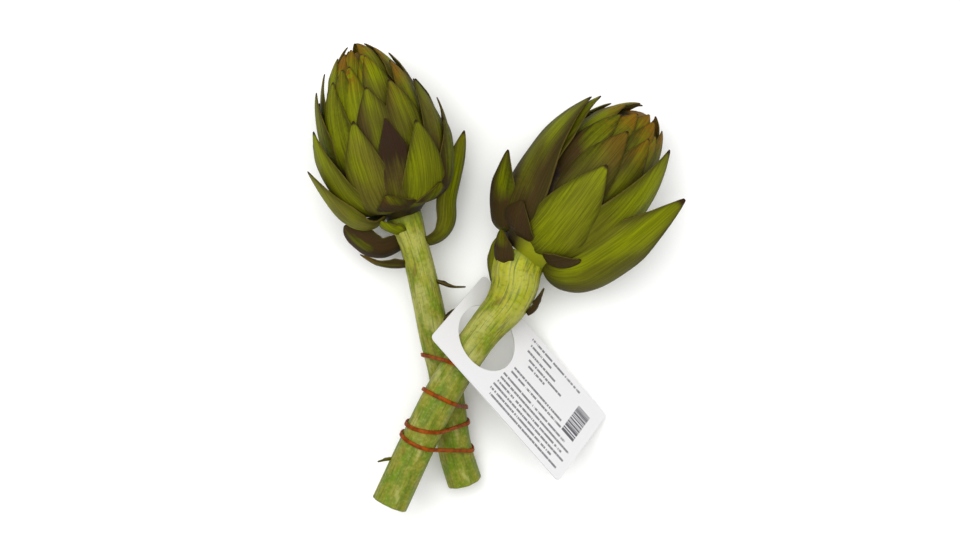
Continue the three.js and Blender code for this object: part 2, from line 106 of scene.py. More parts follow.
world = bpy.data.worlds.new("studio")
bpy.context.scene.world = world
world.use_nodes = True
background = world.node_tree.nodes["Background"].inputs
background["Color"].default_value = WORLD_COLOUR
background["Strength"].default_value = WORLD_STRENGTH
bpy.context.scene.view_settings.view_transform = "Standard"
print("lights:", ", ".join(LIGHTS))

# %% [markdown]
# ## Helpers for materials
#
# A material here is a Principled shader fed by a node group. The group puts out a colour, a
# roughness and a height, worked out from noise and from the numbers that each mesh carries.


# %% Node helpers
def srgb(red, green, blue):
    """A display colour from 0 to 255 as the linear colour that a shader takes."""
    linear = []
    for value in (red / 255, green / 255, blue / 255):
        linear.append(value / 12.92 if value <= 0.04045 else ((value + 0.055) / 1.055) ** 2.4)
    return (*linear, 1)


def feed(node, inputs):
    """Gives a node its inputs: for each socket a value, a Number or another node's output."""
    for socket, value in dict(inputs).items():
        value = getattr(value, "socket", value)
        if isinstance(value, bpy.types.NodeSocket):
            node.id_data.links.new(value, node.inputs[socket])
        else:
            node.inputs[socket].default_value = value


def add_node(tree, kind, inputs=(), **settings):
    made = tree.nodes.new(kind)
    for name, value in settings.items():
        setattr(made, name, value)
    feed(made, inputs)
    return made


class Number:
    """A number that nodes work out for each point of a surface. Arithmetic on it adds nodes."""

    def __init__(self, socket):
        self.socket = socket
        self.tree = socket.id_data

    def maths(self, operation, other=0.0):
        sockets = {0: self, 1: other}
        return Number(add_node(self.tree, "ShaderNodeMath", sockets, operation=operation).outputs[0])

    def __add__(self, other):
        return self.maths("ADD", other)

    def __mul__(self, other):
        return self.maths("MULTIPLY", other)

    def __truediv__(self, other):
        return self.maths("DIVIDE", other)

    def smooth(self, low, high, most=1.0):
        """0 where the number is at low, most where it is at high, with a soft step between."""
        sockets = {"Value": self, "From Min": low, "From Max": high, "To Max": most}
        made = add_node(self.tree, "ShaderNodeMapRange", sockets, interpolation_type="SMOOTHSTEP")
        return Number(made.outputs[0])

    def between(self, low, high):
        """1 where the number lies between low and high, otherwise 0."""
        return self.maths("GREATER_THAN", low) * self.maths("LESS_THAN", high)


def attributes(tree, names):
    """The numbers that a mesh carries under these names."""
    kind = "ShaderNodeAttribute"
    return [Number(add_node(tree, kind, attribute_name=name).outputs["Fac"]) for name in names]


def noise(x, y, z, scale=1.0, detail=3.0):
    """Noise of three coordinates, around 0.5. x is a Number."""
    place = add_node(x.tree, "ShaderNodeCombineXYZ", {"X": x, "Y": y, "Z": z}).outputs[0]
    sockets = {"Vector": place, "Scale": scale, "Detail": detail}
    return Number(add_node(x.tree, "ShaderNodeTexNoise", sockets).outputs["Fac"])


def surface_noise(tree, scale):
    """Noise from the place of each point on the object."""
    place = add_node(tree, "ShaderNodeTexCoord").outputs["Object"]
    sockets = {"Vector": place, "Scale": scale, "Detail": 4.0}
    return Number(add_node(tree, "ShaderNodeTexNoise", sockets).outputs["Fac"])


# A Mix node has sockets for each kind of data. These are the ones that mix colours.
MIX_FACTOR, MIX_FIRST, MIX_SECOND, MIX_RESULT = 0, 6, 7, 2


def layered(colours, base, layers):
    """Lays colours over a base one. Each layer is a mask and the name of its colour."""
    colour = colours[base]
    for mask, name in layers:
        sockets = {MIX_FACTOR: mask, MIX_FIRST: colour, MIX_SECOND: colours[name]}
        colour = add_node(mask.tree, "ShaderNodeMix", sockets, data_type="RGBA").outputs[MIX_RESULT]
    return colour


PATTERN_OUTPUTS = {"Colour": "NodeSocketColor", "Roughness": "NodeSocketFloat", "Height": "NodeSocketFloat"}


def new_pattern(name):
    """An empty node group with the three outputs that every material uses."""
    group = bpy.data.node_groups.new(name, "ShaderNodeTree")
    for output, kind in PATTERN_OUTPUTS.items():
        group.interface.new_socket(output, in_out="OUTPUT", socket_type=kind)
    return group


def finish_pattern(group, *outputs):
    add_node(group, "NodeGroupOutput", zip(PATTERN_OUTPUTS, outputs))
    return group


def new_material(name, pattern, relief, specular=0.5):
    """A Principled material fed by a pattern, whose heights stand relief millimetres tall."""
    material = bpy.data.materials.new(name)
    material.use_nodes = True
    tree = material.node_tree
    source = add_node(tree, "ShaderNodeGroup", node_tree=pattern).outputs
    sockets = {"Height": source["Height"], "Distance": relief * MM, "Strength": 1.0}
    bump = add_node(tree, "ShaderNodeBump", sockets).outputs["Normal"]
    finish = {"Base Color": source["Colour"], "Roughness": source["Roughness"], "Normal": bump}
    feed(tree.nodes["Principled BSDF"], {**finish, "Specular IOR Level": specular})
    return material


# %% [markdown]
# ## Materials
#
# A bract is streaked along its length with fine fibres. How bright, purple, grey, dry and bruised
# it is comes from the mesh, so neighbours differ. Purple lies in soft patches towards the edges and
# the root, a bruise darkens the outer third, the edges dry to a thin tan line, and the tip ends in
# a dark spine.
#
# A pattern works out its masks, and lays a colour over the ones before through each of them.


# %% Bract material
BLADE_NUMBERS = (
    "across", "share", "side_mm", "along_mm", "shade", "bright", "purple", "grey", "dry", "bruise",
)
BRACT_COLOURS = {
    "deep": srgb(58, 62, 4),
    "bright": srgb(122, 130, 2),
    "grey": srgb(114, 112, 28),
    "purple": srgb(58, 38, 24),
    "bruise": srgb(46, 28, 20),
    "dry": srgb(118, 84, 14),
    # rim: painted shade along each bract's edges, where it lies against its neighbours
    "rim": srgb(44, 42, 4),
    "edge": srgb(96, 80, 36),
    "spine": srgb(50, 34, 16),
    "fibre": srgb(36, 34, 2),
    # root: painted shade towards each bract's root, where the older bracts overlap it
    "root": srgb(40, 30, 16),
}


def bract_pattern():
    """Streaked green with grey bloom, purple patches and dry tips, and a rim and a root darkened by painted
    shade.
    """
    group = new_pattern("bract_pattern")
    numbers = attributes(group, BLADE_NUMBERS)
    across, share, side, along, shade, bright, purple, grey, dry, bruise = numbers
    across = across.maths("ABSOLUTE")
    seed = shade * 37.0
    fibres = noise(side * 1.5, along * 0.05, seed)
    veins = noise(side * 0.55, along * 0.02, seed, detail=1.0)
    patches = noise(side * 0.06, along * 0.03, seed, detail=1.0)
    freckles = noise(side, along, seed, scale=0.5)
    light = bright + across.smooth(0.7, 0.0, 0.45) + veins * 1.1 + freckles * 0.7
    flush = patches + across.smooth(0.2, 1.0, 0.12) + share.smooth(0.85, 0.4, 0.2) + freckles * 0.16
    colour = layered(BRACT_COLOURS, "deep", (
        (light.smooth(0.7, 2.3), "bright"),
        (grey * patches.smooth(0.35, 0.6), "grey"),
        ((purple * flush.smooth(0.42, 0.94, 1.4)).maths("MINIMUM", 0.92), "purple"),
        (bruise * (share + veins * 0.3).smooth(0.66, 0.88), "bruise"),
        (dry * share.smooth(0.55, 0.95) * (patches + freckles).smooth(0.75, 1.1), "dry"),
        # painted shade along the edges of the bract
        (across.smooth(0.62, 0.95, 0.6), "rim"),
        # painted shade towards the root of the bract
        (share.smooth(0.38, 0.08, 0.6), "root"),
        (across.smooth(0.94, 0.99, 0.5), "edge"),
        (share.smooth(0.955, 0.99), "spine"),
        (fibres.smooth(0.62, 0.36, 0.4), "fibre"),
    ))
    return finish_pattern(group, colour, fibres * 0.2 + 0.48, fibres + freckles * 0.4)


bract_material = new_material("bract", bract_pattern(), relief=0.35, specular=0.05)


# %% Bud and stem materials
BUD_COLOURS = {
    # gap: the core's dark base colour, painted shade deep in the gaps between bracts
    "gap": srgb(34, 24, 20),
    "mottle": srgb(66, 56, 20),
    "glow": srgb(138, 142, 18),
    "crown": BRACT_COLOURS["dry"],
}


def bud_pattern():
    """The buried middle of a head: dark and purple as painted shade in the gaps, fresh green where a neck
    glows.
    """
    group = new_pattern("bud_pattern")
    glow, crown = attributes(group, ("glow", "crown"))
    mottle = surface_noise(group, 120.0)
    masks = ((mottle.smooth(0.3, 0.7), "mottle"), (glow, "glow"), (crown * 0.7, "crown"))
    return finish_pattern(group, layered(BUD_COLOURS, "gap", masks), 0.6, mottle)


STEM_NUMBERS = ("around_mm", "along_mm", "groove", "neck", "cut")
STEM_COLOURS = {
    "neck": srgb(166, 166, 16),
    "skin": srgb(130, 130, 36),
    "fresh": srgb(98, 122, 8),
    "pale": srgb(158, 158, 84),
    # groove: painted shade, a darker green in the grooves and at the top of the stem under the head
    "groove": srgb(92, 100, 18),
    "deep": srgb(74, 84, 12),
    "scar": srgb(104, 84, 30),
    "pith": srgb(172, 172, 100),
    "cut_edge": srgb(100, 98, 34),
}


def stem_pattern():
    """Skin mottled in greens with long fine streaks, yellower towards the neck, with painted shade in its
    faint grooves and under the head.
    """
    group = new_pattern("stem_pattern")
    around, along, groove, neck, cut = attributes(group, STEM_NUMBERS)
    fibres = noise(around * 1.3, along * 0.06, 0.0)
    patches = noise(around * 0.1, along * 0.05, 5.0)
    blotches = noise(around * 0.16, along * 0.1, 11.0)
    freckles = noise(around, along, 2.0, scale=0.55)
    colour = layered(STEM_COLOURS, "skin", (
        (blotches.smooth(0.4, 0.62), "fresh"),
        ((patches + along.smooth(100, 45, 0.12)).smooth(0.54, 0.7), "pale"),
        # painted shade in the grooves
        (groove * blotches.smooth(0.3, 0.6, 0.5), "groove"),
        (neck * fibres.smooth(0.3, 0.6), "neck"),
        (freckles.smooth(0.5, 0.75, 0.4), "pale"),
        (freckles.smooth(0.52, 0.25, 0.4), "deep"),
        (fibres.smooth(0.5, 0.25, 0.75), "deep"),
        # painted shade at the top of the stem, under the head
        (along.smooth(6, 0, 0.8), "groove"),
        (patches.smooth(0.4, 0.3, 0.6), "scar"),
        (cut.smooth(0.9, 1.0), "cut_edge"),
        (cut.smooth(1.15, 1.7), "pith"),
    ))
    return finish_pattern(group, colour, fibres * 0.2 + 0.42, fibres + freckles * 0.6)


bud_material = new_material("bud", bud_pattern(), relief=0.3, specular=0.14)
stem_material = new_material("stem", stem_pattern(), relief=0.4, specular=0.2)


# %% Band and tag materials
BAND_COLOURS = {"dark": srgb(108, 46, 4), "light": srgb(144, 68, 6)}


def band_pattern():
    group = new_pattern("band_pattern")
    mottle = surface_noise(group, 260.0)
    colour = layered(BAND_COLOURS, "dark", [(mottle.smooth(0.35, 0.65), "light")])
    return finish_pattern(group, colour, 0.5, mottle)


TAG_NUMBERS = ("along_mm", "across_mm", "front")
TAG_PRINT = {
    "card": srgb(217, 216, 217),
    "ink": srgb(84, 84, 90),
    "line_height": 1.5,
    "dash": 0.8,  # about how far apart the breaks in a line are
    # each line: where it starts and ends along the card, and how far across it lies
    "lines": [
        (46, 88, 55.5), (47, 66, 51.5), (48, 72, 47), (52, 80, 43), (54, 68, 39.5),
        (48, 89, 31), (48, 91, 27.5),
        (45, 98, 22.5), (45, 104, 19), (45, 100, 15.5), (44, 104, 12), (44, 96, 8.5), (46, 103, 5),
    ],
    "bars": (92, 102, 27, 49),  # from and to along the card, from and to across it
    "bar_width": 0.9,
}


def tag_pattern():
    """White card with plain dashed lines and one block of plain bars, which mean nothing."""
    group = new_pattern("tag_pattern")
    along, across, front = attributes(group, TAG_NUMBERS)
    half = TAG_PRINT["line_height"] / 2
    layers = []
    for start, end, place in TAG_PRINT["lines"]:
        dashes = noise(along / TAG_PRINT["dash"], place, 0.0, detail=1.0)
        inside = across.between(place - half, place + half) * along.between(start, end)
        layers.append((inside * front * dashes.smooth(0.34, 0.46, 0.85), "ink"))
    low, high, left, right = TAG_PRINT["bars"]
    bars = noise(across / TAG_PRINT["bar_width"], 3.0, 0.0, detail=1.0).maths("GREATER_THAN", 0.46)
    layers.append((along.between(low, high) * across.between(left, right) * front * bars, "ink"))
    grain = noise(along, across, 0.0, scale=3.0)
    return finish_pattern(group, layered(TAG_PRINT, "card", layers), 0.55, grain)


band_material = new_material("rubber_band", band_pattern(), relief=0.05, specular=0.08)
tag_material = new_material("paper_tag", tag_pattern(), relief=0.02)
print("materials:", bpy.data.materials.keys())

# %% [markdown]
# ## Curves
#
# The stems follow centripetal Catmull-Rom curves, and the loose bracts and the stem leaves follow
# uniform ones in a meridian plane.


# %% Curve helpers
def lerp(first, last, share):
    return first + (last - first) * share


def cubic(start, end, slope_in, slope_out, t):
    """The cubic from start to end that has the given slopes at its ends."""
    turn = 2 * (start - end) + slope_in + slope_out
    return start + slope_in * t + (3 * (end - start) - 2 * slope_in - slope_out) * t**2 + turn * t**3


def centripetal_slope(before, place, after, gap_in, gap_out):
    """How fast a centripetal curve runs through a place between two others."""
    return (place - before) / gap_in - (after - before) / (gap_in + gap_out) + (after - place) / gap_out


def centripetal_points(points, per_span=24):
    """Points along the centripetal curve through the given points."""
    ends = [2 * points[0] - points[1], *points, 2 * points[-1] - points[-2]]
    found = []
    for before, start, end, after in zip(ends, ends[1:], ends[2:], ends[3:]):
        gaps = [math.sqrt((b - a).length) for a, b in ((before, start), (start, end), (end, after))]
        slope_in = centripetal_slope(before, start, end, gaps[0], gaps[1]) * gaps[1]
        slope_out = centripetal_slope(start, end, after, gaps[1], gaps[2]) * gaps[1]
        for step in range(per_span):
            found.append(cubic(start, end, slope_in, slope_out, step / per_span))
    return [*found, points[-1]]


def uniform_point(points, share, step=0.001):
    """The point at a share of the uniform curve through the given points, and the way it runs."""
    def at(share):
        span = min(int(share * (len(points) - 1)), len(points) - 2)
        t = share * (len(points) - 1) - span
        before, after = points[max(span - 1, 0)], points[min(span + 2, len(points) - 1)]
        start, end = points[span], points[span + 1]
        return cubic(start, end, (end - before) / 2, (after - start) / 2, t)

    return at(share), (at(min(share + step, 1)) - at(max(share - step, 0))).normalized()


class Route:
    """A line of points that is followed by its length."""

    def __init__(self, points):
        self.points = points
        self.lengths = [0.0]
        for start, end in zip(points, points[1:]):
            self.lengths.append(self.lengths[-1] + (end - start).length)
        self.total = self.lengths[-1]

    def at(self, distance):
        """The place there and the way the line runs."""
        distance = min(max(distance, 0.0), self.total)
        i = min(max(bisect.bisect_left(self.lengths, distance), 1), len(self.lengths) - 1)
        start, end = self.points[i - 1], self.points[i]
        share = (distance - self.lengths[i - 1]) / (self.lengths[i] - self.lengths[i - 1])
        return start.lerp(end, share), (end - start).normalized()


def outward(way):
    """The normal to the right of a way that runs up a meridian, in [radius, height]."""
    return Vector((way.y, -way.x))


def frame_at(origin, axis):
    """A matrix whose Z lies along an axis, whose X faces up and whose Y is to the right."""
    front = (UP - axis * axis.z).normalized()
    right = axis.cross(front)
    columns = Matrix((front, right, axis)).transposed()
    return Matrix.Translation(origin) @ columns.to_4x4()


HASH_NUMBER, HASH_SEED, HASH_SCALE = 12.9898, 78.233, 43758.5453


def chance(number, seed):
    """A repeatable random number from 0 to 1: the usual hash by a sine."""
    wave = math.sin(number * HASH_NUMBER + seed * HASH_SEED) * HASH_SCALE
    return wave - math.floor(wave)


# %% [markdown]
# ## Driving dimensions of the heads
#
# These are the CAD model's dimensions, but one bract's lift and one loose tip are a fraction less,
# so that the dressed model stays inside its box. Each placed bract also has a look: how
# bright, purple, grey, dry and bruised it is. A number left out is 0, and 1 is strong.

# %% Head dimensions
GOLDEN_ANGLE = 180 * (3 - math.sqrt(5))

HEADS = {
    "left": {
        "base": Vector((-22.4, 102.7, 31.9)),
        "tip": Vector((-48.8, 196, 46)),
        "radius": 35.8,
        "widest": 0.39,
        "low_power": 3.4,
        "high_power": 1.55,
        "neck_radius": 10.8,
        "neck_glow": (0, 0),
        "bracts": 44,
        "first_azimuth": 20,
        "tips": (0.43, 1),
        "length": (54, 32),
        "width": (34, 14),
        "lift": (5, 1.6),
        "dry": 1.6,
        "seed": 3,
    },
    "right": {
        "base": Vector((44.5, 80.5, 34)),
        "tip": Vector((116.2, 161.3, 38)),
        "radius": 35,
        "widest": 0.42,
        "low_power": 3.2,
        "high_power": 1.7,
        "neck_radius": 15,
        "neck_glow": (60, 2),
        "bracts": 34,
        "first_azimuth": 60,
        "tips": (0.45, 0.95),
        "length": (70, 36),
        "width": (42, 16),
        "lift": (4, 1),
        "dry": 1.5,
        "seed": 8,
    },
}
BRACT = {
    "sink": 5.5,
    "sink_power": 1.8,
    "lift_power": 1.6,
    "root_width": 0.5,
    "widest_at": 0.42,
    "taper": 1.7,
    "tip_width": 0.035,
    "root_thickness": 2.2,
    "tip_thickness": 0.9,
    "thinner_edge": 0.3,
    "cup": 0.88,
    "least_radius": 4,
    "least_slope": 0.3,
    "least_curve": 9,
    "least_start": 1,  # how near to the neck a root may start
    "keel": 0.7,  # how far the midrib stands out near the root
    "keel_width": 0.16,
    "ripple": 0.5,  # how far the edges wave
}
LOOSE = {"curve": 24, "length": 80}
SPIRAL_SPREAD = {"length": 0.06, "lift": 0.25, "azimuth": 5, "width": 0.08}
CORE = {
    "depth": 3.4,  # how far it lies under the outline of the bud
    "inset": 1,  # how much narrower than the neck it starts, and its least radius
    "glow_height": 12,
    "crown": 0.92,  # share of the height above which it is dry
    "steps": 30,
    "turns": 48,
}
OUTLINE_STEPS = 240
BRACT_GRID = {"rows": 16, "columns": 10}
PLACED_REACH = {"azimuth": 88, "height": 0.86}
SEEDS = {"shade": 5, "look": (11, 12, 13, 14), "loose_bract": 90, "leaf": 50}
SAME_PLACE = 0.001  # points of a mesh that are nearer than this are joined


def bract(azimuth, lean, tip, length, width, lift, **look):
    """A bract that lies on its bud. tip is the height of its tip."""
    size = {"azimuth": azimuth, "lean": lean, "tip": tip, "length": length, "width": width, "lift": lift}
    return {**size, "look": look}


PLACED_BRACTS = {
    "left": [
        bract(-64, 8, 57, 68, 34, 7, bright=1.2, purple=0.25, grey=0.3),
        bract(-19, -4, 59, 82, 31, 3.5, bright=0.7, purple=0.4, grey=0.9),
        bract(10, -6, 56, 80, 30, 2.7, bright=0.2, purple=0.7, grey=0.6, bruise=1),
        bract(34, -3, 50, 74, 32, 5, bright=0.85, purple=0.35, grey=0.1),
        bract(72, 0, 47, 68, 36, 4, bright=0.1, purple=1, grey=0.2, dry=0.2),
        bract(63, -6, 71, 74, 28, 4, bright=0.2, purple=0.6, grey=0.8),
        bract(-78, 4, 76, 50, 30, 6, bright=0.5, purple=0.3, grey=0.4),
        bract(-88, 2, 85, 46, 26, 4.5, bright=0.4, purple=0.3, grey=0.3, dry=0.2),
        bract(-50, 7, 81, 56, 26, 2.5, bright=0.55, purple=0.1, grey=0.1, dry=0.1),
        bract(1, -3, 74, 50, 26, 2.5, bright=0.4, purple=0.6, grey=0.4),
        bract(31, -2, 75, 54, 26, 2.5, bright=0.45, purple=0.55, grey=0.5, dry=0.2),
        bract(-20, 0, 87, 44, 20, 2, bright=0.8, purple=0.1, grey=0.1, dry=1.2),
        bract(55, -3, 84, 42, 18, 3, bright=0.4, purple=0.2, grey=0.3, dry=1.2),
        bract(12, 0, 92, 40, 19, 1.5, bright=0.6, purple=0.1, dry=1.8),
        bract(-44, 0, 94, 36, 17, 1.5, bright=0.6, purple=0.1, dry=1.8),
        bract(-8, 10, 17, 22, 24, 1.2, bright=0.1, purple=1.2, dry=0.2),
        bract(46, -8, 15, 20, 22, 1.2, bright=0.3, purple=0.9, dry=0.2),
    ],
    "right": [
        bract(3, 12, 66, 84, 37, 4, bright=0.95, purple=0.2, grey=0.3),
        bract(51, 2, 92, 100, 41, 10, bright=1, purple=0.35, grey=0.2),
        bract(-65, 22, 86, 100, 40, 10, bright=0.7, purple=0.65, grey=0.1),
        bract(-62, 8, 90, 60, 24, 9, bright=0.4, purple=0.4, grey=0.2, dry=0.1),
        bract(-4, 4, 88, 64, 28, 2, bright=0.3, purple=0.7, grey=0.6, dry=0.5),
        bract(-30, 4, 93, 52, 22, 2, bright=0.2, purple=0.8, grey=0.6, dry=0.7),
        bract(27, 2, 93, 48, 22, 2, bright=0.3, purple=0.5, grey=0.2, dry=0.9),
        bract(-14, 0, 99, 40, 20, 2, bright=0.3, purple=0.4, grey=0.2, dry=1.3),
        bract(22, 0, 101, 40, 20, 3, bright=0.3, purple=0.3, grey=0.1, dry=1.4),
        bract(60, 0, 101, 38, 20, 2.5, bright=0.2, purple=0.5, grey=0.1, dry=1.2),
        bract(-105, 0, 106.8, 34, 20, 0.4, bright=0.2, purple=0.8, grey=0.1, dry=1.2),
        bract(120, 0, 106.8, 34, 22, 0.8, bright=0.2, purple=0.4, grey=0.1, dry=1.6),
        bract(-34, 6, 23, 26, 26, 1.2, purple=3),
        bract(48, -4, 20, 24, 24, 1.4, bright=0.3, purple=1),
    ],
}


def loose_bract(azimuth, midrib, width, twist, widest_at, **look):
    size = {"azimuth": azimuth, "width": width, "twist": twist, "widest_at": widest_at}
    return {**size, "midrib": midrib, "curve": LOOSE["curve"], "look": look}


# Bracts that stand clear of their head follow a midrib of their own, as (radius, height) points.
LOW_LEFT_BRACT = [(11, 2), (19, -1.5), (28, 1), (35.5, 9), (41, 22.7), (45.5, 39.3)]
LOW_RIGHT_BRACT = [(13, 5), (20, 2), (30.5, 7), (38.5, 17), (45, 37), (48.5, 54), (52.5, 82.4)]
SMALL_BRACT = [(13, 7), (18, 4), (24, 6), (34, 16.5), (40.5, 26), (48, 38.5)]
LOOSE_BRACTS = {
    "left": [loose_bract(-76, LOW_LEFT_BRACT, 40, 0, 0.6, bright=1.3, purple=0.1, grey=1)],
    "right": [
        loose_bract(62, LOW_RIGHT_BRACT, 50, 32, 0.5, bright=0.9, purple=0.45, grey=0.3),
        loose_bract(-68, SMALL_BRACT, 32, -22, 0.42, bright=0.25, purple=0.9, grey=0.3),
    ],
}

# %% [markdown]
# ## A blade
#
# Every bract and leaf is one blade: a grid that is bent along its midrib and across it. The grid
# carries the numbers that the bract material reads, and a weight that thins the blade towards its
# edges and its tip. A solidify modifier gives it its thickness and a subdivision rounds its edges.


# %% Blade
def half_width(share, widest_at, root_width):
    """Half of a blade's width, as a share of its widest, at a share of its length."""
    if share < widest_at:
        return lerp(root_width, 1, math.sin(math.pi / 2 * share / widest_at))
    rest = (share - widest_at) / (1 - widest_at)
    return max(1 - rest ** BRACT["taper"], BRACT["tip_width"])


def number_layers(bm, names):
    """A mesh's layers for the numbers that its material reads, by name."""
    floats = bm.verts.layers.float
    return {name: floats.get(name) or floats.new(name) for name in names}


def store(vert, layers, numbers):
    """Writes numbers to a point's first layers, in their order."""
    for layer, number in zip(layers.values(), numbers):
        vert[layer] = float(number)


def blade_ways(blade, share, normal):
    """The ways out from the head's axis, sideways and off the blade, at a share of its length."""
    angle = math.radians(blade["azimuth"] + blade.get("lean", 0) * (1 - share))
    twist = math.radians(blade.get("twist", 0))
    radial = Vector((math.cos(angle), math.sin(angle), 0))
    level = Vector((-math.sin(angle), math.cos(angle), 0))
    off = radial * normal.x + UP * normal.y
    sideways = level * math.cos(twist) + off * math.sin(twist)
    return radial, sideways, off * math.cos(twist) - level * math.sin(twist)


def blade_relief(across, share, shade):
    """How far the keel and the waves of the edges raise a blade. shade sets where the waves start."""
    keel = BRACT["keel"] * (1 - share) * math.exp(-((across / BRACT["keel_width"]) ** 2))
    wave = math.sin(13 * share + 40 * shade + across) + 0.6 * math.sin(29 * share + 11 * shade)
    return keel + BRACT["ripple"] * wave * across**4 * math.sin(math.pi * share)


def add_blade(bm, place_in, blade, midrib, length, seed):
    """Adds a blade. midrib(share) gives its place, its normal and the radius it curves with."""
    layers = number_layers(bm, BLADE_NUMBERS)
    weights = bm.verts.layers.deform.verify()
    rows = BRACT_GRID["rows"]
    grid = bmesh.ops.create_grid(bm, x_segments=BRACT_GRID["columns"], y_segments=rows, size=1)
    shade = chance(seed, SEEDS["shade"])
    form = [blade.get(name, BRACT[name]) for name in ("widest_at", "root_width")]
    spans = {}
    for vert in grid["verts"]:
        across, share = vert.co.x, (vert.co.y + 1) / 2
        key = round(share * rows)
        if key not in spans:
            spans[key] = midrib(share)
        place, normal, curve = spans[key]
        radial, sideways, out = blade_ways(blade, share, normal)
        half = blade["width"] / 2 * half_width(share, *form)
        turn = across * half / curve
        rise = blade_relief(across, share, shade) - curve * (1 - math.cos(turn))
        middle = radial * place.x + UP * place.y
        vert.co = place_in @ (middle + sideways * curve * math.sin(turn) + out * rise)
        vert.co.z = max(vert.co.z, BRACT["root_thickness"] / 2)
        store(vert, layers, (across, share, across * half, share * length, shade))
        for name, number in blade["look"].items():
            vert[layers[name]] = number
        thickness = lerp(BRACT["root_thickness"], BRACT["tip_thickness"], share) / BRACT["root_thickness"]
        vert[weights][0] = thickness * (1 - BRACT["thinner_edge"] * across**2)


def finish_piece(name, bm, material, node):
    """Turns a mesh in millimetres into a piece that stands for a CAD node and rides on the part."""
    mesh = bpy.data.meshes.new(name)
    bm.to_mesh(mesh)
    bm.free()
    mesh.transform(TO_FRAME)
    mesh.materials.append(material)
    mesh.shade_smooth()
    piece = add_object(name, mesh)
    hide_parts(node)
    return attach(piece, "root")


def face_counts(pieces):
    return {piece.name: len(piece.data.polygons) for piece in pieces}


def thicken(piece):
    """Gives a piece made of blades its thickness, thinner where its weights are lower."""
    piece.vertex_groups.new(name="thickness")
    solid = piece.modifiers.new("thickness", "SOLIDIFY")
    solid.thickness = BRACT["root_thickness"] * MM
    solid.offset = 0
    solid.vertex_group = "thickness"
    rounded = piece.modifiers.new("rounded edges", "SUBSURF")
    rounded.levels = rounded.render_levels = 1


# %% [markdown]
# ## Heads
#
# A bud's outer form is two quarter superellipses that meet at its widest place. Its bracts follow
# that form from a sunken root to a tip that lifts off it. The spiral climbs at the golden angle and
# leaves the stretch on top to the placed bracts.


# %% Bud form
class Bud:
    """A head's outer form, followed from the neck to the tip."""

    def __init__(self, head):
        self.height = (head["tip"] - head["base"]).length
        widest = head["widest"] * self.height
        outline = []
        steps = OUTLINE_STEPS
        for i in range(steps + 1):
            angle = math.pi * i / steps
            is_low = i < steps / 2
            power = 2 / (head["low_power"] if is_low else head["high_power"])
            reach = widest if is_low else self.height - widest
            radius = head["radius"] * math.sin(angle) ** power
            rise = -math.copysign(abs(math.cos(angle)) ** power, math.cos(angle)) * reach
            if radius >= head["neck_radius"] or not is_low:
                outline.append(Vector((radius, widest + rise)))
        self.route = Route(outline)

    def length_at(self, height):
        """How far along the outline a height is."""
        i = next(i for i, place in enumerate(self.route.points) if place.y >= height)
        return self.route.lengths[i]

    def at(self, distance, offset=0.0):
        place, way = self.route.at(distance)
        normal = outward(way)
        return place + normal * offset, normal


def bract_midrib(bud, blade):
    """The midrib of a bract that lies along its bud."""
    def midrib(share):
        lift = blade["lift"] * share ** BRACT["lift_power"]
        sink = BRACT["sink"] * (1 - share) ** BRACT["sink_power"]
        place, normal = bud.at(blade["tip"] - blade["length"] * (1 - share), lift - sink)
        bulge = BRACT["cup"] * max(place.x, BRACT["least_radius"]) / max(normal.x, BRACT["least_slope"])
        return place, normal, max(bulge, BRACT["least_curve"])

    return midrib


def loose_midrib(blade):
    """The midrib of a blade that is a curve of its own."""
    points = [Vector(pair) for pair in blade["midrib"]]

    def midrib(share):
        place, way = uniform_point(points, share)
        return place, outward(way), blade["curve"]

    return midrib


# %% Bracts of the spiral
def spiral_look(head, rank, azimuth, number):
    """How a spiral bract looks: paler to the left, browner to the right, drier towards the tip."""
    rightness = math.sin(math.radians(azimuth))
    vary = [chance(number, head["seed"] + kind) for kind in SEEDS["look"]]
    return {
        "bright": 0.55 - 0.2 * rightness + 0.5 * (vary[0] - 0.5),
        "purple": 0.4 + 0.2 * rightness + 0.6 * (vary[1] - 0.5),
        "grey": 0.6 * vary[2],
        "dry": head["dry"] * max(rank - 0.5, 0) * 2 * (0.5 + 0.5 * vary[3]),
    }


def spiral_bracts(head, bud):
    """The bracts of the golden spiral, without those that the placed ones stand for."""
    blades = []
    for i in range(head["bracts"]):
        rank = i / (head["bracts"] - 1)
        vary = {}
        for kind, (name, spread) in enumerate(SPIRAL_SPREAD.items()):
            vary[name] = spread * (chance(i, head["seed"] + kind) * 2 - 1)
        tip = bud.route.total * lerp(*head["tips"], rank)
        azimuth = head["first_azimuth"] + GOLDEN_ANGLE * i + vary["azimuth"]
        from_top = abs((azimuth + 180) % 360 - 180)
        is_low = bud.at(tip)[0].y < PLACED_REACH["height"] * bud.height
        if is_low and from_top < PLACED_REACH["azimuth"]:
            continue
        blade = {"azimuth": azimuth, "tip": tip, "look": spiral_look(head, rank, azimuth, i)}
        for name in ("length", "lift", "width"):
            blade[name] = lerp(*head[name], rank) * (1 + vary[name])
        blades.append(blade)
    return blades


def placed_bracts(side, bud):
    return [{**placed, "tip": bud.length_at(placed["tip"])} for placed in PLACED_BRACTS[side]]


# %% Make the heads
def make_head(side):
    head = HEADS[side]
    bud = Bud(head)
    place_in = frame_at(head["base"], (head["tip"] - head["base"]).normalized())
    bm = bmesh.new()
    for i, blade in enumerate(spiral_bracts(head, bud) + placed_bracts(side, bud)):
        blade["length"] = min(blade["length"], blade["tip"] - BRACT["least_start"])
        add_blade(bm, place_in, blade, bract_midrib(bud, blade), blade["length"], head["seed"] + i)
    for i, blade in enumerate(LOOSE_BRACTS[side], SEEDS["loose_bract"]):
        add_blade(bm, place_in, blade, loose_midrib(blade), LOOSE["length"], i)
    piece = finish_piece(f"bracts_{side}", bm, bract_material, f"head_{side}")
    thicken(piece)
    make_bud(side, head, bud, place_in)
    return piece


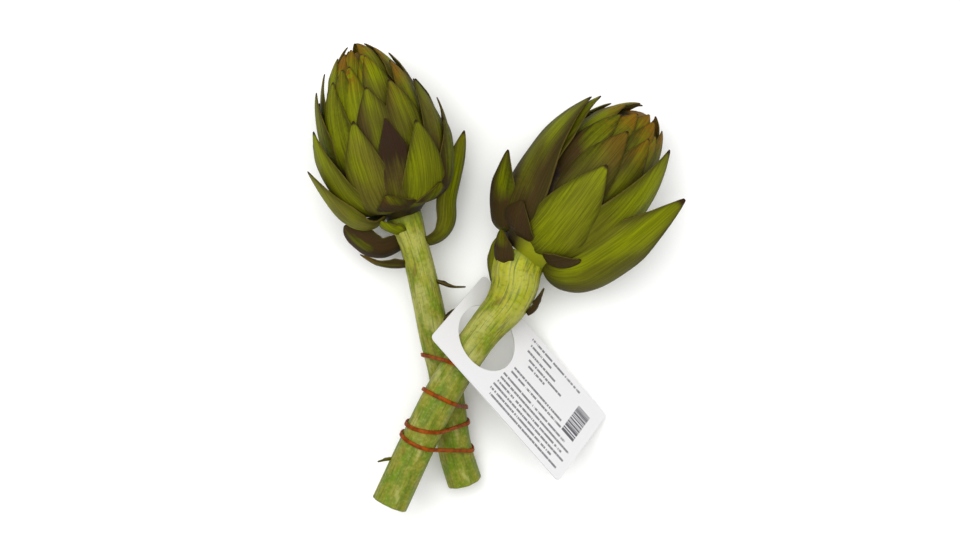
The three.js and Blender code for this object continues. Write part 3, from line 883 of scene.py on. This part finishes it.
def make_bud(side, head, bud, place_in):
    """The buried middle of a head, spun from its outline."""
    outline = [Vector((0, 0)), Vector((head["neck_radius"] - CORE["inset"], 0))]
    for i in range(1, CORE["steps"]):
        place = bud.at(bud.route.total * i / CORE["steps"], -CORE["depth"])[0]
        if place.x > CORE["inset"]:
            outline.append(place)
    outline.append(Vector((0, bud.height - CORE["depth"])))
    bm = bmesh.new()
    verts = [bm.verts.new((place.x, 0, place.y)) for place in outline]
    edges = [bm.edges.new(pair) for pair in zip(verts, verts[1:])]
    spin = {"cent": (0, 0, 0), "axis": (0, 0, 1), "angle": 2 * math.pi, "steps": CORE["turns"]}
    bmesh.ops.spin(bm, geom=[*verts, *edges], use_merge=True, **spin)
    bmesh.ops.remove_doubles(bm, verts=bm.verts, dist=SAME_PLACE)
    layers = number_layers(bm, ("glow", "crown"))
    azimuth, strength = head["neck_glow"]
    for vert in bm.verts:
        angle = math.atan2(vert.co.y, vert.co.x) - math.radians(azimuth)
        glow = min(max(strength * math.cos(angle), 0), 1) * (vert.co.z < CORE["glow_height"])
        store(vert, layers, (glow, vert.co.z > CORE["crown"] * bud.height))
    bmesh.ops.transform(bm, matrix=place_in, verts=bm.verts)
    bmesh.ops.recalc_face_normals(bm, faces=bm.faces)
    for vert in bm.verts:
        vert.co.z = max(vert.co.z, 0)
    finish_piece(f"bud_{side}", bm, bud_material, f"head_{side}")


heads = [make_head(side) for side in HEADS]
print("heads:", face_counts(heads))

# %% [markdown]
# ## Stems
#
# A stem is a ribbed tube along its line, which starts at the base of its head. It widens to the
# neck there, and small leaves and withered stubs grow from it. The cut end is a slightly hollow face
# with a rounded rim.

# %% Stem dimensions
STEMS = {
    "left": {
        "line": [
            (-16.4, 85, 29.5), (-9.2, 54.7, 26), (-4.4, 31.9, 22.6), (0, 14.8, 20.5),
            (2.4, -2.5, 18.2), (6.4, -31.5, 13.5), (11.8, -50.2, 9.2),
        ],
        "radius": (10.1, 8.1, 10.1),
        "flare": 0.12,
        "ribs": 9,
        "bright_neck": 0.45,
    },
    "right": {
        "line": [
            (41.4, 71.7, 34.8), (40, 62.8, 35.5), (34.9, 52, 36.4), (25.2, 40.5, 37.5),
            (15.6, 27.4, 38.3), (-1.8, 0, 39), (-15.2, -27.4, 37.9), (-30.2, -59.8, 37),
        ],
        "radius": (14.4, 9.8, 10.3),
        "flare": 0.36,
        "ribs": 10,
        "bright_neck": 1.0,
    },
}
RIB_DEPTH = 0.055
NECK_REACH = 0.42  # how much of a stem the neck's yellow fades over
USUAL_RADIUS = 9  # turns an angle round a stem into millimetres
STEM_GRID = {"rings": 110, "per_rib": 8}
# The rounded rim of the cut end, the hollow inside it, and the rings that each is made with.
CUT_END = {"rim": 0.8, "hollow": 0.6, "rim_turns": (30, 60, 90), "shares": (0.75, 0.5, 0.25, 0.03)}
WITHERED = {"purple": 2.4, "grey": 0.2}
FRESH = {"bright": 0.5, "purple": 0.2, "grey": 0.4, "dry": 0.1}
STUB = {"bright": 0.6, "purple": 0.3, "grey": 0.2, "dry": 0.6}
BRIGHT = {"bright": 1.3}
DARK = {"purple": 1.1, "grey": 0.3, "dry": 0.4}


def leaf(at, azimuth, midrib, width, curve, look, **form):
    """A leaf at a share of the stem's length. form may hold a twist, widest_at and root_width."""
    size = {"azimuth": azimuth, "width": width, "curve": curve}
    return {**size, "at": at, "midrib": midrib, "look": look, **form}


SIDE_LEAF = [(4, 0), (10.5, -1.2), (18.5, 1), (24, 8.5), (27, 18), (33.6, 29.6), (39.5, 41), (45.8, 53.5)]
HUGGING_LEAF = [(9, -2), (12.5, 6), (13.8, 14), (13.8, 23)]
CURLED_LEAF = [(3, 0), (9.5, -2.2), (18, -2.6), (25.3, 2.4), (30.5, 10.5), (33.5, 18)]
THIN_LEAF = [(4, 0), (8.5, 0.5), (15.2, 1.8), (22.5, 5), (31, 12.5)]
STEM_LEAVES = {
    "left": [
        leaf(0.11, 90, SIDE_LEAF, 21, 14, FRESH, twist=40, widest_at=0.72, root_width=0.3),
        leaf(0.08, -86, CURLED_LEAF, 21, 16, WITHERED, twist=-48, widest_at=0.72),
        leaf(0.05, -45, [(5, -2), (11, 2), (15, 5), (19, 11)], 16, 12, BRIGHT),
        leaf(0.178, -86, THIN_LEAF, 11, 8, DARK, twist=-30),
        leaf(0.25, 90, [(3, 1), (9, -2), (15, -6), (23, -8)], 6, 5, WITHERED),
        leaf(0.385, 90, [(2, -9), (7, -4), (11, 0), (15, 3)], 12, 8, DARK),
    ],
    "right": [
        leaf(0.1, -86, HUGGING_LEAF, 20, 12, FRESH, twist=-40, root_width=0.8),
        # This dark leaf at the top of the neck is partly painted shade: its dark look stands for the shade
        # there.
        leaf(0.04, -50, [(9, -6), (14.5, 0), (17.5, 7), (20.5, 15)], 19, 13, DARK, root_width=0.8),
        leaf(0.1, 90, [(9, -17), (13, -13), (14.5, -8), (16.5, -1)], 7, 6, WITHERED, twist=30),
        leaf(0.85, -90, [(5, 2), (11, -1), (16, -5)], 4, 4, STUB),
    ],
}


# %% Make the stems
def stem_radius(stem, share):
    neck, below, end = stem["radius"]
    if share < stem["flare"]:
        return lerp(neck, below, 0.5 - 0.5 * math.cos(math.pi * share / stem["flare"]))
    return lerp(below, end, (share - stem["flare"]) / (1 - stem["flare"]))


def stem_rings(stem, route):
    """The rings of a stem, each as (middle, way, radius, distance, cut). cut runs from 0 on the skin
    to 1 at the rim of the cut end and 2 at its middle."""
    rings = []
    rim = CUT_END["rim"]
    for i in range(STEM_GRID["rings"] + 1):
        distance = lerp(0, route.total - rim, i / STEM_GRID["rings"])
        middle, way = route.at(distance)
        rings.append((middle, way, stem_radius(stem, distance / route.total), distance, 0))
    end, way = route.at(route.total)
    radius = stem_radius(stem, 1)
    for turn in CUT_END["rim_turns"]:
        inset = rim * (1 - math.cos(math.radians(turn)))
        middle = end - way * rim * (1 - math.sin(math.radians(turn)))
        rings.append((middle, way, radius - inset, route.total, turn / 90))
    for share in CUT_END["shares"]:
        hollow = way * CUT_END["hollow"] * (1 - share)
        rings.append((end - hollow, way, (radius - rim) * share, route.total, 2 - share))
    return rings


def add_tube(bm, rings, sides):
    """Adds a grid to wrap round a tube. Gives its vertices, each with its ring and its side."""
    bmesh.ops.create_grid(bm, x_segments=sides, y_segments=rings, size=1)
    for vert in bm.verts:
        yield vert, round((vert.co.y + 1) / 2 * rings), round((vert.co.x + 1) / 2 * sides)


def close_tube(bm):
    """Joins the edges of a wrapped grid and fills the ends that are left open."""
    bmesh.ops.remove_doubles(bm, verts=bm.verts, dist=SAME_PLACE)
    bmesh.ops.holes_fill(bm, edges=bm.edges, sides=0)
    bmesh.ops.recalc_face_normals(bm, faces=bm.faces)


def rib_relief(stem, angle, distance):
    """How deep in a groove a point of a stem lies, from 0 to 1, and its share of the full radius.
    The grooves drift and fade in slow waves along the stem, so no two stretches are alike."""
    drift = 0.5 * math.sin(2 * angle + 1.3) + 0.5 * math.sin(distance / 23)
    groove = 0.5 - 0.5 * math.cos(stem["ribs"] * angle + drift)
    strength = 0.65 + 0.35 * math.sin(3 * angle + distance / 31)
    wobble = 0.012 * math.sin(3 * angle + distance / 15) + 0.008 * math.sin(5 * angle - distance / 9)
    return groove * strength, 1 - RIB_DEPTH * strength * groove ** 1.5 + wobble


def make_stem(side):
    stem, route = STEMS[side], stem_routes[side]
    sides = stem["ribs"] * STEM_GRID["per_rib"]
    rings = stem_rings(stem, route)
    bm = bmesh.new()
    layers = number_layers(bm, STEM_NUMBERS)
    for vert, i, j in add_tube(bm, len(rings) - 1, sides):
        middle, way, radius, distance, cut = rings[i]
        across = UP.cross(way).normalized()
        angle = 2 * math.pi * (j % sides) / sides
        groove, depth = rib_relief(stem, angle, distance)
        out = across * math.cos(angle) + way.cross(across) * math.sin(angle)
        vert.co = middle + out * radius * depth
        vert.co.z = max(vert.co.z, 0)
        neck = stem["bright_neck"] * max(0, 1 - distance / route.total / NECK_REACH)
        around = USUAL_RADIUS * min(angle, 2 * math.pi - angle)
        store(vert, layers, (around, distance, groove, neck, cut))
    close_tube(bm)
    piece = finish_piece(f"ribbed_stem_{side}", bm, stem_material, f"stem_{side}")
    make_stem_leaves(side, route)
    return piece


def make_stem_leaves(side, route):
    bm = bmesh.new()
    for i, blade in enumerate(STEM_LEAVES[side], SEEDS["leaf"]):
        middle, way = route.at(blade["at"] * route.total)
        length = Route([Vector(pair) for pair in blade["midrib"]]).total
        add_blade(bm, frame_at(middle, -way), blade, loose_midrib(blade), length, i)
    thicken(finish_piece(f"leaves_{side}", bm, bract_material, f"stem_{side}"))


stem_routes = {}
for side, stem in STEMS.items():
    stem_routes[side] = Route(centripetal_points([HEADS[side]["base"], *map(Vector, stem["line"])]))
stems = [make_stem(side) for side in STEMS]
print("stems:", face_counts(stems))

# %% [markdown]
# ## Rubber bands
#
# Each turn lies in a plane and is pulled tight round both stems, so it follows the convex outline
# of the two ellipses that the plane cuts from them.

# %% Band dimensions
BANDS = [
    {"through": Vector((-12.6, -26.1, 46)), "heading": 24, "lean": 12.8},
    {"through": Vector((-8.2, -17.7, 46.5)), "heading": 10, "lean": 11.9},
    {"through": Vector((2.4, -1.0, 47)), "heading": 25.6, "lean": -1.5},
    {"through": Vector((-1, 20.5, 28)), "heading": 20, "lean": -5},
]
BAND = {"width": 2.2, "thickness": 1.3, "gap": 0.15, "steps": 120, "corner": 0.35}
HALVINGS = 40  # steps of the search for where a plane cuts a stem


# %% Make the bands
def stem_section(stem, route, through, normal):
    """The ellipse that a plane cuts from a stem."""
    def beyond(distance):
        return (route.at(distance)[0] - through).dot(normal)

    low, high = 0.0, route.total
    for _ in range(HALVINGS):
        middle = (low + high) / 2
        if beyond(low) * beyond(middle) <= 0:
            high = middle
        else:
            low = middle
    centre, way = route.at(low)
    radius = stem_radius(stem, low / route.total)
    lengthways = (way - normal * way.dot(normal)).normalized()
    long = lengthways * radius / abs(way.dot(normal))
    short = normal.cross(lengthways) * radius
    return {"way": way, "centre": centre, "long": long, "short": short}


def section_point(section, out):
    """The point of a section furthest out, and the way straight out of the stem there."""
    across, along = out.dot(section["long"]), out.dot(section["short"])
    start = (section["long"] * across + section["short"] * along) / math.hypot(across, along)
    lift = (start - section["way"] * start.dot(section["way"])).normalized()
    return section["centre"] + start, lift


def band_profile():
    """The band's rounded section, as (height above the stem, distance across) points."""
    corner = BAND["corner"]
    points = []
    for high, wide, first in ((1, 1, 0), (1, -1, 90), (0, -1, 180), (0, 1, 270)):
        for turn in (first, first + 45, first + 90):
            height = lerp(corner, BAND["thickness"] - corner, high)
            across = wide * (BAND["width"] / 2 - corner)
            angle = math.radians(turn)
            points.append((height + corner * math.sin(angle), across + corner * math.cos(angle)))
    return points


def make_band(name, node, through, heading, lean):
    """A turn of band in the plane through a point whose normal has this heading and lean."""
    turn, tilt = math.radians(heading), math.radians(lean)
    normal = Vector((math.sin(turn) * math.cos(tilt), math.cos(turn) * math.cos(tilt), math.sin(tilt)))
    level = UP.cross(normal).normalized()
    upright = normal.cross(level)
    sections = [stem_section(STEMS[side], stem_routes[side], through, normal) for side in STEMS]
    profile = band_profile()
    bm = bmesh.new()
    for vert, i, j in add_tube(bm, BAND["steps"], len(profile)):
        angle = 2 * math.pi * (i % BAND["steps"]) / BAND["steps"]
        out = level * math.cos(angle) + upright * math.sin(angle)
        points = [section_point(section, out) for section in sections]
        place, lift = max(points, key=lambda point: point[0].dot(out))
        flat = normal.cross(out).cross(lift).normalized()
        up, wide = profile[j % len(profile)]
        vert.co = place + lift * (BAND["gap"] + up) + flat * wide
    close_tube(bm)
    return finish_piece(name, bm, band_material, node)


bands = [make_band(f"band_turn_{i}", f"rubber_band_{i}", **band) for i, band in enumerate(BANDS, 1)]
print("bands:", face_counts(bands))

# %% [markdown]
# ## Tag
#
# The card is flat, with rounded corners and a round hole that the upper stem passes through. Its
# mesh carries each point's distance along and across the card, which the print is drawn from.

# %% Tag dimensions
TAG = {
    "length": 109,
    "width": 60,
    "thickness": 0.8,
    "corner": 3,
    "corner_steps": 8,
    "hole_steps": 90,
    "hole_radius": 19.5,
    "hole_from_end": 24.8,
    "near_corner": Vector((-6.6, 34.8, 59.6)),
    "along": Vector((0.648, -0.745, -0.157)),
    "across": Vector((0.488, 0.565, -0.665)),
}


# %% Make the tag
def arc(x, y, radius, first, last, steps):
    """Points of an arc, with angles in degrees."""
    angles = [math.radians(lerp(first, last, i / steps)) for i in range(steps + 1)]
    return [Vector((x + radius * math.cos(angle), y + radius * math.sin(angle), 0)) for angle in angles]


def make_tag():
    length, width, corner = TAG["length"], TAG["width"], TAG["corner"]
    outline = []
    for x, y, first in (
        (length - corner, corner, -90),
        (length - corner, width - corner, 0),
        (corner, width - corner, 90),
        (corner, corner, 180),
    ):
        outline += arc(x, y, corner, first, first + 90, TAG["corner_steps"])
    steps = TAG["hole_steps"]
    hole = arc(TAG["hole_from_end"], width / 2, TAG["hole_radius"], 0, 360 - 360 / steps, steps - 1)
    bm = bmesh.new()
    edges = []
    for loop in (outline, hole):
        verts = [bm.verts.new(place) for place in loop]
        edges += [bm.edges.new((verts[i - 1], verts[i])) for i in range(len(verts))]
    faces = bmesh.ops.triangle_fill(bm, use_beauty=True, use_dissolve=False, edges=edges)["geom"]
    faces = [face for face in faces if isinstance(face, bmesh.types.BMFace)]
    bmesh.ops.solidify(bm, geom=faces, thickness=-TAG["thickness"])
    bmesh.ops.recalc_face_normals(bm, faces=bm.faces)
    layers = number_layers(bm, TAG_NUMBERS)
    lowest = min(vert.co.z for vert in bm.verts)
    along = TAG["along"].normalized()
    across = (TAG["across"] - along * TAG["across"].dot(along)).normalized()
    turn = Matrix((along, across, along.cross(across))).transposed().to_4x4()
    for vert in bm.verts:
        vert.co.z -= lowest
        store(vert, layers, (vert.co.x, vert.co.y, vert.co.z > TAG["thickness"] / 2))
        vert.co = TAG["near_corner"] + turn @ vert.co
    piece = finish_piece("printed_card", bm, tag_material, "paper_tag")
    piece.data.shade_flat()
    return piece


print("tag:", face_counts([make_tag()]))

# %% [markdown]
# ## Floor
#
# A plain pale floor under the part, which isn't part of it.

# %% Floor
FLOOR = {"size": 6, "below": 0.0003, "colour": srgb(250, 250, 249), "roughness": 0.9}


def make_floor():
    bm = bmesh.new()
    bmesh.ops.create_grid(bm, x_segments=1, y_segments=1, size=FLOOR["size"] / 2)
    mesh = bpy.data.meshes.new("floor")
    bm.to_mesh(mesh)
    bm.free()
    floor = add_object("floor", mesh)
    floor.location.z = -FLOOR["below"]
    material = bpy.data.materials.new("floor")
    material.use_nodes = True
    finish = {"Base Color": FLOOR["colour"], "Roughness": FLOOR["roughness"]}
    feed(material.node_tree.nodes["Principled BSDF"], finish)
    mesh.materials.append(material)


make_floor()
